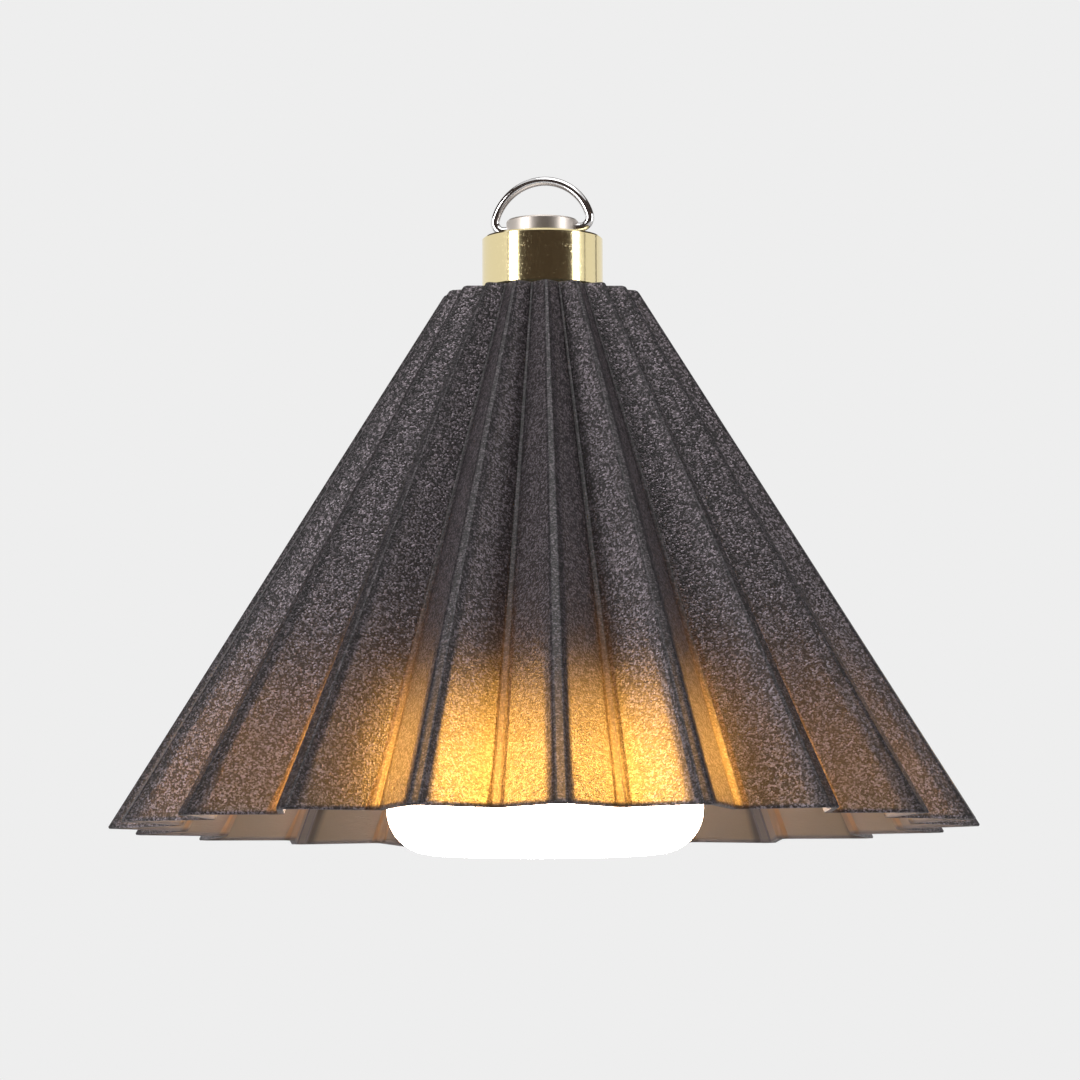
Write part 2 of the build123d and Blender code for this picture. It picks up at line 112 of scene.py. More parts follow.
def new_tree(name, inputs, outputs, kind="GeometryNodeTree"):
    """A node tree with named inputs, given as (type, name, value), and named outputs."""
    tree = bpy.data.node_groups.new(name, kind)
    for socket_type, label, value in inputs:
        socket = tree.interface.new_socket(label, in_out="INPUT", socket_type=socket_type)
        if value is not None:
            socket.default_value = value
    for socket_type, label in outputs:
        tree.interface.new_socket(label, in_out="OUTPUT", socket_type=socket_type)
    return tree, tree.nodes.new("NodeGroupInput"), tree.nodes.new("NodeGroupOutput")


def feed(tree, socket, value):
    """Joins another socket to this one, or sets its value."""
    if isinstance(value, bpy.types.NodeSocket):
        tree.links.new(value, socket)
    else:
        socket.default_value = value


def maths(tree, operation, *values):
    """A Math node's result."""
    node = tree.nodes.new("ShaderNodeMath")
    node.operation = operation
    for socket, value in zip(node.inputs, values):
        feed(tree, socket, value)
    return node.outputs[0]


def vector_maths(tree, operation, *values):
    """A Vector Math node's result. A scale is given as the last value."""
    node = tree.nodes.new("ShaderNodeVectorMath")
    node.operation = operation
    sockets = [node.inputs[0], node.inputs["Scale"]] if operation == "SCALE" else node.inputs
    for socket, value in zip(sockets, values):
        feed(tree, socket, value)
    return node.outputs["Value" if operation == "LENGTH" else "Vector"]


def node_of(tree, kind, settings=(), **values):
    """A node of a kind, with settings as (name, value) and its inputs by name."""
    node = tree.nodes.new(kind)
    for setting, value in settings:
        setattr(node, setting, value)
    for label, value in values.items():
        feed(tree, node.inputs[label.replace("_", " ")], value)
    return node


def mapped(tree, value, start, end, low, high, kind="LINEAR"):
    """The value taken from the range start to end to the range low to high."""
    node = node_of(tree, "ShaderNodeMapRange", [("interpolation_type", kind)], Value=value,
                   From_Min=start, From_Max=end, To_Min=low, To_Max=high)
    return node.outputs[0]


def product(tree, result, *factors):
    """Several values multiplied together."""
    for factor in factors:
        result = maths(tree, "MULTIPLY", result, factor)
    return result


def size_inputs(labels):
    """The shade's sizes of these names, as inputs of a tree."""
    kinds = {int: "NodeSocketInt", float: "NodeSocketFloat"}
    return [(kinds[type(shade_sizes[label])], label, shade_sizes[label]) for label in labels]


def corner_tree():
    """Where a corner of the zigzag outline stands at the rim. Corners are counted round it."""
    tree, given, result = new_tree(
        "pleat_corner",
        [("NodeSocketFloat", "Corner", 0.0), *size_inputs(corner_sizes)],
        [("NodeSocketVector", "Place"), ("NodeSocketFloat", "In Valley")],
    )
    half = maths(tree, "FLOOR", maths(tree, "DIVIDE", given.outputs["Corner"], 2.0))
    side = maths(tree, "SUBTRACT", given.outputs["Corner"], maths(tree, "MULTIPLY", half, 2.0))
    in_valley = maths(tree, "FLOORED_MODULO", half, 2.0)

    def ridge_or_valley(ridge, valley):
        mix = node_of(tree, "ShaderNodeMix")
        for socket, value in zip((mix.inputs[0], mix.inputs[2], mix.inputs[3]),
                                 (in_valley, given.outputs[ridge], given.outputs[valley])):
            feed(tree, socket, value)
        return mix.outputs[0]

    radius = ridge_or_valley("Ridge Radius", "Valley Radius")
    land = ridge_or_valley("Ridge Land", "Valley Land")
    across = maths(tree, "MULTIPLY", maths(tree, "SUBTRACT", side, 0.5), land)
    half_pleat = maths(tree, "DIVIDE", math.pi, given.outputs["Pleats"])
    turn = maths(tree, "MULTIPLY_ADD", half, half_pleat, given.outputs["First Ridge"])
    cosine, sine = maths(tree, "COSINE", turn), maths(tree, "SINE", turn)
    x = maths(tree, "SUBTRACT", maths(tree, "MULTIPLY", radius, cosine),
              maths(tree, "MULTIPLY", across, sine))
    y = maths(tree, "MULTIPLY_ADD", radius, sine, maths(tree, "MULTIPLY", across, cosine))
    place = node_of(tree, "ShaderNodeCombineXYZ", X=x, Y=y)
    tree.links.new(place.outputs[0], result.inputs["Place"])
    tree.links.new(in_valley, result.inputs["In Valley"])
    return tree


def shade_tree(corner, outside, inside):
    """The moulding: a grid whose rows run down the outside, round the rim, up the inside and
    through the screw's hole, and whose columns follow the rounded zigzag."""
    tree, given, result = new_tree(
        "pleated_moulding",
        [("NodeSocketGeometry", "Geometry", None), *size_inputs(shade_sizes)],
        [("NodeSocketGeometry", "Geometry")],
    )
    wanted = given.outputs
    apex = maths(tree, "ADD", wanted["Rim Height"], wanted["Rim To Apex"])
    inner_apex = maths(tree, "SUBTRACT", apex, wanted["Wall Drop"])
    plate_under = maths(tree, "SUBTRACT", wanted["Top Height"], wanted["Plate"])

    def share(peak, height):
        return maths(tree, "DIVIDE", maths(tree, "SUBTRACT", peak, height), wanted["Rim To Apex"])

    def drawn_in(value, amount):
        return maths(tree, "SUBTRACT", value, maths(tree, "DIVIDE", amount, wanted["Ridge Radius"]))

    top, rim = wanted["Top Height"], wanted["Rim Height"]
    top_share = share(apex, maths(tree, "SUBTRACT", top, wanted["Top Rounding"]))
    rim_bevel = maths(tree, "ADD", rim, wanted["Rim Rounding"])

    def top_row(down, inwards):
        height = maths(tree, "SUBTRACT", top, maths(tree, "MULTIPLY", wanted["Top Rounding"], down))
        return height, drawn_in(top_share, maths(tree, "MULTIPLY", wanted["Top Rounding"], inwards)), 0.0

    # Each row is its height, its share of the rim's outline and its share of the screw's hole.
    rows = [top_row(down, inwards) for down, inwards in top_edge_rows]
    rows += [
        (rim_bevel, share(apex, rim_bevel), 0.0),
        (rim, drawn_in(share(apex, rim), wanted["Rim Rounding"]), 0.0),
        (rim, share(inner_apex, rim), 0.0),
        (plate_under, share(inner_apex, plate_under), 0.0),
        (plate_under, 0.0, 1.0),
        (top, 0.0, 1.0),
        rows[0],
    ]
    first_inner_row = 5
    last_edge_row = len(top_edge_rows) - 1

    columns_per_pleat = float(corners_per_pleat * rounding_steps)
    columns = maths(tree, "MULTIPLY_ADD", wanted["Pleats"], columns_per_pleat, 1.0)
    grid = node_of(tree, "GeometryNodeMeshGrid", Size_X=len(rows) - 1,
                   Size_Y=maths(tree, "SUBTRACT", columns, 1.0), Vertices_X=len(rows), Vertices_Y=columns)
    position = node_of(tree, "GeometryNodeInputPosition").outputs[0]
    place = node_of(tree, "ShaderNodeSeparateXYZ", Vector=position)
    row = maths(tree, "ROUND", maths(tree, "ADD", place.outputs["X"], (len(rows) - 1) / 2))
    middle = maths(tree, "DIVIDE", maths(tree, "SUBTRACT", columns, 1.0), 2.0)
    column = maths(tree, "ROUND", maths(tree, "ADD", place.outputs["Y"], middle))

    def by_row(values):
        switch = tree.nodes.new("GeometryNodeIndexSwitch")
        switch.data_type = "FLOAT"
        while len(switch.index_switch_items) < len(values):
            switch.index_switch_items.new()
        feed(tree, switch.inputs["Index"], row)
        for socket, value in zip(switch.inputs[1:], values):
            feed(tree, socket, value)
        return switch.outputs[0]

    height, scale, hole = (by_row(values) for values in zip(*rows))

    number = maths(tree, "FLOOR", maths(tree, "DIVIDE", column, float(rounding_steps)))
    past_corner = maths(tree, "SUBTRACT", column, maths(tree, "MULTIPLY", number, float(rounding_steps)))
    along = maths(tree, "DIVIDE", past_corner, float(rounding_steps - 1))

    def corner_at(offset):
        group = node_of(tree, "GeometryNodeGroup", [("node_tree", corner)],
                        Corner=maths(tree, "ADD", number, offset))
        for label in corner_sizes:
            feed(tree, group.inputs[label], wanted[label])
        return group.outputs

    here = corner_at(0.0)

    def towards(other):
        way = vector_maths(tree, "SUBTRACT", other["Place"], here["Place"])
        return vector_maths(tree, "SCALE", vector_maths(tree, "NORMALIZE", way), wanted["Land Rounding"])

    back = maths(tree, "SUBTRACT", 1.0, along)
    bent = vector_maths(
        tree, "ADD",
        vector_maths(tree, "SCALE", towards(corner_at(-1.0)), maths(tree, "MULTIPLY", back, back)),
        vector_maths(tree, "SCALE", towards(corner_at(1.0)), maths(tree, "MULTIPLY", along, along)),
    )
    outline = vector_maths(tree, "ADD", here["Place"], bent)
    ring = vector_maths(tree, "SCALE", vector_maths(tree, "NORMALIZE", outline), wanted["Screw Hole"])
    flat = vector_maths(tree, "ADD", vector_maths(tree, "SCALE", outline, scale),
                        vector_maths(tree, "SCALE", ring, hole))
    lifted = vector_maths(tree, "ADD", flat, node_of(tree, "ShaderNodeCombineXYZ", Z=height).outputs[0])

    def stored(geometry, label, value, domain="POINT"):
        store = node_of(tree, "GeometryNodeStoreNamedAttribute",
                        [("data_type", "FLOAT"), ("domain", domain)], Geometry=geometry, Name=label)
        feed(tree, store.inputs["Value"], value)
        return store.outputs[0]

    mesh = grid.outputs[0]
    for label, value in (("in_valley", here["In Valley"]), ("row", row), ("column", column)):
        mesh = stored(mesh, label, value)
    moved = node_of(tree, "GeometryNodeSetPosition", Geometry=mesh, Position=lifted)
    row_read, column_read, side_read = (
        node_of(tree, "GeometryNodeInputNamedAttribute", [("data_type", "FLOAT")], Name=label).outputs[0]
        for label in ("row", "column", "is_inside")
    )
    is_inside = node_of(tree, "FunctionNodeCompare", A=row_read, B=float(first_inner_row))
    sided = stored(moved.outputs[0], "is_inside", is_inside.outputs[0], "FACE")
    closed = node_of(tree, "GeometryNodeMergeByDistance", Geometry=sided, Distance=seam_width)
    angle = node_of(tree, "GeometryNodeInputMeshEdgeAngle")
    is_soft = node_of(tree, "FunctionNodeCompare", [("operation", "LESS_THAN")],
                      A=angle.outputs["Unsigned Angle"], B=sharp_edge)
    smooth = node_of(tree, "GeometryNodeSetShadeSmooth", [("domain", "EDGE")], Geometry=closed.outputs[0],
                     Shade_Smooth=is_soft.outputs[0])
    # Panels and lands stay flat. Only their rounded edges and the top's are smooth.
    in_step = maths(tree, "FLOORED_MODULO", column_read, float(rounding_steps))
    rounded = maths(tree, "MAXIMUM", maths(tree, "LESS_THAN", in_step, rounding_steps - 1.0),
                    maths(tree, "LESS_THAN", row_read, float(last_edge_row)))
    marked = stored(smooth.outputs[0], "on_rounding", rounded, "FACE")
    faces = node_of(tree, "GeometryNodeSetShadeSmooth", Geometry=marked, Shade_Smooth=rounded)
    real = node_of(tree, "GeometryNodeRealizeInstances", Geometry=faces.outputs[0])
    painted = node_of(tree, "GeometryNodeSetMaterial", Geometry=real.outputs[0], Material=outside)
    painted = node_of(tree, "GeometryNodeSetMaterial", Geometry=painted.outputs[0], Material=inside,
                      Selection=side_read)
    tree.links.new(painted.outputs[0], result.inputs["Geometry"])
    return tree


def grown(name, tree, sizes):
    """The plain mesh that a tree makes from its sizes, as a new piece."""
    maker = bpy.data.objects.new(name + "_maker", bpy.data.meshes.new(name + "_maker"))
    bpy.context.scene.collection.objects.link(maker)
    modifier = maker.modifiers.new("made", "NODES")
    modifier.node_group = tree
    for item in tree.interface.items_tree:
        if item.item_type == "SOCKET" and item.in_out == "INPUT" and item.name in sizes:
            modifier[item.identifier] = sizes[item.name]
    bpy.context.view_layer.update()
    graph = bpy.context.evaluated_depsgraph_get()
    mesh = bpy.data.meshes.new_from_object(maker.evaluated_get(graph), depsgraph=graph)
    bpy.data.objects.remove(maker)
    mesh.name = name
    piece = bpy.data.objects.new(name, mesh)
    bpy.context.scene.collection.objects.link(piece)
    return piece


def new_material(name):
    """A material with its tree, its coordinates and its output."""
    material = bpy.data.materials.new(name)
    material.use_nodes = True
    tree = material.node_tree
    tree.nodes.clear()
    output = tree.nodes.new("ShaderNodeOutputMaterial")
    coordinates = tree.nodes.new("ShaderNodeTexCoord").outputs["Object"]
    return material, tree, coordinates, output


def ramp(tree, value, stops):
    """A colour ramp over (place, colour) stops."""
    node = tree.nodes.new("ShaderNodeValToRGB")
    elements = node.color_ramp.elements
    while len(elements) < len(stops):
        elements.new(0.5)
    for element, (place, colour) in zip(elements, stops):
        element.position = place
        element.color = (*colour, 1) if isinstance(colour, tuple) else (colour, colour, colour, 1)
    feed(tree, node.inputs[0], value)
    return node.outputs["Color"]


def mixed(tree, share, first, second):
    """A mix of two shaders, with this share of the second."""
    mix = node_of(tree, "ShaderNodeMixShader", Fac=share)
    tree.links.new(first.outputs[0], mix.inputs[1])
    tree.links.new(second.outputs[0], mix.inputs[2])
    return mix


# The grain's waviness and its fine part, as shares of a pebble's size, number and height.
wander_scale, wander_share = 0.7, 0.15
fine_scale, fine_share = 2.2, 0.25
glint_by_chance = [(0.0, 0.0), (0.45, 0.08), (0.75, 0.5), (0.95, 1.0)]


def grain_group():
    """Moulded grain: pebbles of a given size, as a height, a mask of their tops and a chance mask of the
    pebbles that get a painted glint."""
    tree, given, result = new_tree(
        "moulded_grain",
        [("NodeSocketVector", "Vector", None), ("NodeSocketFloat", "Pebble Size", 0.0007)],
        [("NodeSocketFloat", "Height"), ("NodeSocketFloat", "Tops"), ("NodeSocketFloat", "Glint")],
        "ShaderNodeTree",
    )
    vector, pebble = given.outputs["Vector"], given.outputs["Pebble Size"]
    scale = maths(tree, "DIVIDE", 1.0, pebble)
    wander = node_of(tree, "ShaderNodeTexNoise", Vector=vector, Detail=2.0,
                     Scale=maths(tree, "MULTIPLY", scale, wander_scale))
    shift = vector_maths(tree, "SCALE", wander.outputs["Color"],
                         maths(tree, "MULTIPLY", pebble, wander_share))
    cells = node_of(tree, "ShaderNodeTexVoronoi", Scale=scale,
                    Vector=vector_maths(tree, "ADD", vector, shift))
    fine = node_of(tree, "ShaderNodeTexNoise", Vector=vector, Detail=2.0,
                   Scale=maths(tree, "MULTIPLY", scale, fine_scale))
    height = maths(tree, "MULTIPLY_ADD", fine.outputs[0], fine_share,
                   maths(tree, "SUBTRACT", 1.0, cells.outputs["Distance"]))
    chance = node_of(tree, "ShaderNodeSeparateColor", Color=cells.outputs["Color"]).outputs["Red"]
    tree.links.new(height, result.inputs["Height"])
    tree.links.new(mapped(tree, height, 0.75, 1.05, 0.0, 1.0), result.inputs["Tops"])
    tree.links.new(ramp(tree, chance, glint_by_chance), result.inputs["Glint"])
    return tree


moulded_grain = grain_group()

# Looks across a panel, from its ridge (0) to its valley (1): how deep the grain is, how clear the wall
# is, where it is milky and where its skin is painted darker, a painted shade at the ridge and in the
# valley.
grain_across = [(0.0, 0.6), (0.02, 1.0), (0.99, 1.0), (1.0, 0.5)]
clear_across = [(0.0, 0.4), (0.015, 0.25), (0.06, 0.3), (0.14, 1.0)]
milky_across = [(0.925, 0.0), (0.94, 1.0), (0.99, 1.0), (1.0, 0.5)]
skin_shade_across = [(0.0, 0.7), (0.02, 0.45), (0.17, 1.0), (0.85, 1.0), (1.0, 0.6)]
# Looks up the wall: between which heights the light through it fades, a painted shade above the drum, and
# what is left of it above the drum, on a ridge's rounding and in a thin line at the rim.
drum_light = (0.012, 0.062)
valley_light = (0.012, 0.046)
light_above, light_on_ridge, light_at_rim = 0.25, 0.3, 0.2
rim_line = 3 * rim_rounding
# The milky share of what comes through, the open share next to a valley, and what they look like.
milk, valley_milk, valley_open = 0.2, 0.9, 0.6
milk_colour = (0.95, 0.64, 0.26)
blur = 0.3
# The polishing lines of the mould's inner half: how many, and how many times longer than high.
line_scale, line_length = 600.0, 12.0
# A pebble that glints is painted brighter, a painted highlight, and is more like metal and clearer than
# the others.
spot_dark, painted_glint_gain, spot_metal, spot_depth = 0.3, 15.0, 0.8, 0.4


def shade_material(name, pigment, tint, share, pebble, relief, roughness, lens=0.0, lines=0.0,
                   spotting=0.0):
    """Smoke plastic: part dark pigment with a grained skin, part rough clear tint and part milky."""
    material, tree, coordinates, output = new_material(name)
    grain = node_of(tree, "ShaderNodeGroup", [("node_tree", moulded_grain)], Vector=coordinates,
                    Pebble_Size=pebble).outputs
    across, rounding = (
        node_of(tree, "ShaderNodeAttribute", [("attribute_name", label)]).outputs["Fac"]
        for label in ("in_valley", "on_rounding")
    )
    height = node_of(tree, "ShaderNodeSeparateXYZ", Vector=coordinates).outputs["Z"]
    grained = ramp(tree, across, grain_across)
    spots = maths(tree, "MULTIPLY", grain["Glint"], grained)

    # The skin. Some pebbles, picked by chance, get a painted glint in their colour.
    bump = node_of(tree, "ShaderNodeBump", Height=grain["Height"], Distance=relief, Strength=grained)
    bright = mapped(tree, spots, 0.0, 1.0, 1.0 - spot_dark * spotting, 1.0 + painted_glint_gain * spotting)
    # The skin's colour carries a painted shade at the ridges and in the valleys.
    colour = vector_maths(tree, "SCALE", pigment, maths(
        tree, "MULTIPLY", bright, ramp(tree, across, skin_shade_across)))
    rough = mapped(tree, grain["Tops"], 0.0, 1.0, roughness + 0.1, roughness)
    skin = node_of(tree, "ShaderNodeBsdfPrincipled", Base_Color=colour, Roughness=rough,
                   Metallic=maths(tree, "MULTIPLY", spots, spot_metal * spotting),
                   IOR=1.5, Normal=bump.outputs[0])

    # Less light comes through at the ridges, at the rim and in the thicker pebbles, and above the drum,
    # where the fade is a painted shade.
    on_ridge = maths(tree, "MULTIPLY", rounding, maths(tree, "LESS_THAN", across, 0.5))
    clear = product(
        tree, ramp(tree, across, clear_across),
        maths(tree, "SUBTRACT", 1.0, maths(tree, "MULTIPLY", on_ridge, 1.0 - light_on_ridge)),
        mapped(tree, height, *drum_light, 1.0, light_above, "SMOOTHSTEP"),
        mapped(tree, height, shade_low.z + rim_rounding, shade_low.z + rim_line, light_at_rim, 1.0),
        mapped(tree, spots, 0.0, 0.5, 1.0 - spot_depth * spotting, 1.0),
    )
    # Polishing lines run round the mould, so they spread what comes through up and down.
    flattened = vector_maths(tree, "MULTIPLY", coordinates, (1.0, 1.0, line_length))
    polish = node_of(tree, "ShaderNodeTexNoise", Vector=flattened, Scale=line_scale, Detail=1.0)
    softer = node_of(tree, "ShaderNodeBump", Height=grain["Height"], Distance=lens)
    lined = node_of(tree, "ShaderNodeBump", Height=polish.outputs[0], Distance=lines,
                    Normal=softer.outputs[0])
    through = node_of(tree, "ShaderNodeBsdfRefraction", [("distribution", "BECKMANN")],
                      Color=vector_maths(tree, "MULTIPLY", clear, tint), Roughness=blur, IOR=1.45,
                      Normal=lined.outputs[0])
    scatter = node_of(tree, "ShaderNodeBsdfTranslucent", Normal=bump.outputs[0],
                      Color=vector_maths(tree, "MULTIPLY", clear, milk_colour))

    # Next to a valley the wall is milky, and glows low down; the milky band's fade above that is a
    # painted shade.
    band = ramp(tree, across, milky_across)
    low_band = maths(tree, "MULTIPLY", band, mapped(tree, height, *valley_light, 1.0, 0.0, "SMOOTHSTEP"))
    light = mixed(tree, mapped(tree, band, 0.0, 1.0, milk, valley_milk), through, scatter)
    whole = mixed(tree, mapped(tree, low_band, 0.0, 1.0, share, valley_open), skin, light)
    tree.links.new(whole.outputs[0], output.inputs["Surface"])
    return material


shade_outside = shade_material(
    "smoke_plastic_grained", pigment=(0.026, 0.0225, 0.0245), tint=(0.98, 0.79, 0.36), share=0.36,
    pebble=0.00036, relief=0.00009, roughness=0.3, lens=0.00005, spotting=1.0)
shade_inside = shade_material(
    "smoke_plastic_satin", pigment=(0.06, 0.06, 0.07), tint=(0.98, 0.76, 0.34), share=0.35,
    pebble=0.0012, relief=0.00001, roughness=0.5, lines=0.00014)

shade = grown("shade_moulding", shade_tree(corner_tree(), shade_outside, shade_inside), shade_sizes)
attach(shade, "lantern")
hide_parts("pleated_shade")


# ======================================================================== collar and its gasket
# A brass spacer turned on a lathe and polished, with a small chamfer at each end, on a thin
# rubber washer. The screw's shank passes through both and clamps them to the shade.

collar_low, collar_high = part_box("brass_collar")
gasket_low, gasket_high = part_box("collar_gasket")
collar_radius = collar_high.x
collar_chamfer = 0.0005
turned_edge = math.radians(30)


def turned(name, outline, segments=96):
    """A closed solid of revolution from (radius, height) points, listed upwards on the outside."""
    mesh = bmesh.new()
    rings = []
    for radius, height in outline:
        if radius == 0:
            rings.append([mesh.verts.new((0, 0, height))])
        else:
            angles = (2 * math.pi * step / segments for step in range(segments))
            rings.append([mesh.verts.new((radius * math.cos(a), radius * math.sin(a), height))
                          for a in angles])
    for lower, upper in zip(rings, rings[1:] + rings[:1]):
        if len(lower) == len(upper) == 1:
            continue
        for step in range(segments):
            after = (step + 1) % segments
            corners = [lower[step % len(lower)], lower[after % len(lower)],
                       upper[after % len(upper)], upper[step % len(upper)]]
            mesh.faces.new(list(dict.fromkeys(corners)))
    bmesh.ops.recalc_face_normals(mesh, faces=mesh.faces)
    return finished(name, mesh, turned_edge)


def finished(name, mesh, soft_edge):
    """A bmesh as a new piece, smooth except at its edges sharper than soft_edge."""
    for face in mesh.faces:
        face.smooth = True
    for edge in mesh.edges:
        edge.smooth = len(edge.link_faces) == 2 and edge.calc_face_angle() < soft_edge
    data = bpy.data.meshes.new(name)
    mesh.to_mesh(data)
    mesh.free()
    piece = bpy.data.objects.new(name, data)
    bpy.context.scene.collection.objects.link(piece)
    return piece


# How fast a turning mark changes round the axis, in pitches of its own noise.
mark_pace = 0.6


def lathe_group():
    """Fine turning marks round the Z axis: a height, and a mask of the deeper lines."""
    tree, given, result = new_tree(
        "turning_marks",
        [("NodeSocketVector", "Vector", None), ("NodeSocketFloat", "Pitch", 0.0004)],
        [("NodeSocketFloat", "Height"), ("NodeSocketFloat", "Lines")],
        "ShaderNodeTree",
    )
    parts = node_of(tree, "ShaderNodeSeparateXYZ", Vector=given.outputs["Vector"])
    frequency = maths(tree, "DIVIDE", 1.0, given.outputs["Pitch"])
    squared = maths(tree, "ADD", maths(tree, "MULTIPLY", parts.outputs["X"], parts.outputs["X"]),
                    maths(tree, "MULTIPLY", parts.outputs["Y"], parts.outputs["Y"]))
    radius = maths(tree, "SQRT", squared)
    way = maths(tree, "MULTIPLY", maths(tree, "ADD", parts.outputs["Z"], radius), frequency)
    turn = maths(tree, "MULTIPLY", maths(tree, "ARCTAN2", parts.outputs["Y"], parts.outputs["X"]),
                 mark_pace)
    place = node_of(tree, "ShaderNodeCombineXYZ", X=way, Y=turn)
    noise = node_of(tree, "ShaderNodeTexNoise", Vector=place.outputs[0], Scale=1.0, Detail=3.0).outputs[0]
    tree.links.new(noise, result.inputs["Height"])
    tree.links.new(mapped(tree, noise, 0.6, 0.72, 0.0, 1.0), result.inputs["Lines"])
    return tree


turning_marks = lathe_group()

speck_scale = 2600.0
line_roughness = 0.08
plain_relief = 0.00002
top_polish = 0.08


def turned_metal(name, colour, roughness, pitch, relief, pits=0.0):
    """A metal off the lathe, with turning marks and a few specks in its polish."""
    material, tree, coordinates, output = new_material(name)
    marks = node_of(tree, "ShaderNodeGroup", [("node_tree", turning_marks)], Vector=coordinates,
                    Pitch=pitch).outputs
    bump = node_of(tree, "ShaderNodeBump", Height=marks["Height"], Distance=relief, Strength=1.0)
    specks = node_of(tree, "ShaderNodeTexNoise", Vector=coordinates, Scale=speck_scale, Detail=1.0)
    dull = mapped(tree, specks.outputs[0], 0.62, 0.7, roughness, roughness + pits)
    rough = maths(tree, "MULTIPLY_ADD", marks["Lines"], line_roughness, dull)
    metal = node_of(tree, "ShaderNodeBsdfPrincipled", Base_Color=colour, Metallic=1.0, Roughness=rough,
                    Normal=bump.outputs[0])
    tree.links.new(metal.outputs[0], output.inputs["Surface"])
    return material


def moulded(name, colour, roughness, pebble=0.0004, **more):
    """A plain moulded or painted finish with a fine grain."""
    material, tree, coordinates, output = new_material(name)
    grain = node_of(tree, "ShaderNodeGroup", [("node_tree", moulded_grain)], Vector=coordinates,
                    Pebble_Size=pebble).outputs
    bump = node_of(tree, "ShaderNodeBump", Height=grain["Height"], Distance=plain_relief)
    rough = mapped(tree, grain["Tops"], 0.0, 1.0, roughness + top_polish, roughness)
    shader = node_of(tree, "ShaderNodeBsdfPrincipled", Base_Color=colour, Roughness=rough,
                     Normal=bump.outputs[0], **more)
    tree.links.new(shader.outputs[0], output.inputs["Surface"])
    return material


def seat(piece, material, body, slot, *nodes):
    """Gives a finished piece its material, its body and the CAD nodes it stands for. Its slot is not
    used.
    """
    piece.data.materials.clear()
    piece.data.materials.append(material)
    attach(piece, body)
    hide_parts(*nodes)


def finish_node(node, material):
    """Gives a CAD node its material."""
    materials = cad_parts[node].data.materials
    materials.clear()
    materials.append(material)


brass = turned_metal("polished_brass", (0.87, 0.74, 0.42, 1), 0.12, 0.0003, 0.000008, pits=0.15)
rubber = moulded("black_rubber", (0.03, 0.03, 0.032, 1), 0.7)

collar = turned("collar_turned", [
    (screw_hole, collar_low.z), (collar_radius - collar_chamfer, collar_low.z),
    (collar_radius, collar_low.z + collar_chamfer), (collar_radius, collar_high.z - collar_chamfer),
    (collar_radius - collar_chamfer, collar_high.z), (screw_hole, collar_high.z),
], segments=128)
seat(collar, brass, "lantern", "brass", "brass_collar")

gasket = turned("gasket_washer", [
    (screw_hole, gasket_low.z), (gasket_high.x, gasket_low.z),
    (gasket_high.x, gasket_high.z), (screw_hole, gasket_high.z),
])
seat(gasket, rubber, "lantern", "rubber", "collar_gasket")


# ======================================================================== ring screw
# A turned screw of satin steel with a wide flat head, which clamps the collar and the shade to the
# tube's cap. The ring's wire turns in a hole across the head.

screw_low, screw_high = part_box("ring_screw")
head_radius = screw_high.x
shank_radius = 0.003175
head_chamfer = 0.0004
wire_radius = 0.00105
ring_turn = math.radians(-17)
bar_height = (collar_high.z + screw_high.z) / 2

satin_steel = turned_metal("satin_steel", (0.52, 0.47, 0.43, 1), 0.42, 0.0005, 0.000004)

screw = turned("screw_turned", [
    (0, screw_low.z), (shank_radius - head_chamfer, screw_low.z),
    (shank_radius, screw_low.z + head_chamfer), (shank_radius, collar_high.z),
    (head_radius, collar_high.z), (head_radius, screw_high.z - head_chamfer),
    (head_radius - head_chamfer, screw_high.z), (0, screw_high.z),
])
seat(screw, satin_steel, "lantern", "screw_steel", "ring_screw")


# ======================================================================== hanging ring
# Polished steel wire, 2.1 mm thick, bent to a D. Its straight bar turns in the screw's head, where
# its two ends meet.

ring_half_width = 0.0119
ring_rise = 0.01135
ring_corner = 0.0022
wire_end_gap = 0.0004
wire_sides = 24
wire_edge = math.radians(40)
ring_corner_steps = 14
bow_steps = 48

bow_radius = (ring_half_width ** 2 + ring_rise ** 2) / (2 * ring_rise)
bow_centre = ring_rise - bow_radius
corner_x = math.sqrt((bow_radius - ring_corner) ** 2 - (ring_corner - bow_centre) ** 2)
corner_end = math.atan2(ring_corner - bow_centre, corner_x)


def arc(centre, radius, start, end, steps):
    """Points of an arc, as (across, up)."""
    angles = [start + (end - start) * step / steps for step in range(steps + 1)]
    return [(centre[0] + radius * math.cos(a), centre[1] + radius * math.sin(a)) for a in angles]


def wire_mesh(name, points, radius):
    """A round wire along points, closed at both ends."""
    curve = bpy.data.curves.new(name + "_line", "CURVE")
    curve.dimensions = "3D"
    spline = curve.splines.new("POLY")
    spline.points.add(len(points) - 1)
    for target, point in zip(spline.points, points):
        target.co = (*point, 1)
    curve.bevel_depth = radius
    curve.bevel_resolution = wire_sides // 4 - 1
    curve.use_fill_caps = True
    maker = bpy.data.objects.new(name + "_line", curve)
    bpy.context.scene.collection.objects.link(maker)
    bpy.context.view_layer.update()
    graph = bpy.context.evaluated_depsgraph_get()
    data = bpy.data.meshes.new_from_object(maker.evaluated_get(graph), depsgraph=graph)
    bpy.data.objects.remove(maker)
    mesh = bmesh.new()
    mesh.from_mesh(data)
    bmesh.ops.remove_doubles(mesh, verts=mesh.verts, dist=seam_width)
    bmesh.ops.recalc_face_normals(mesh, faces=mesh.faces)
    return finished(name, mesh, wire_edge)


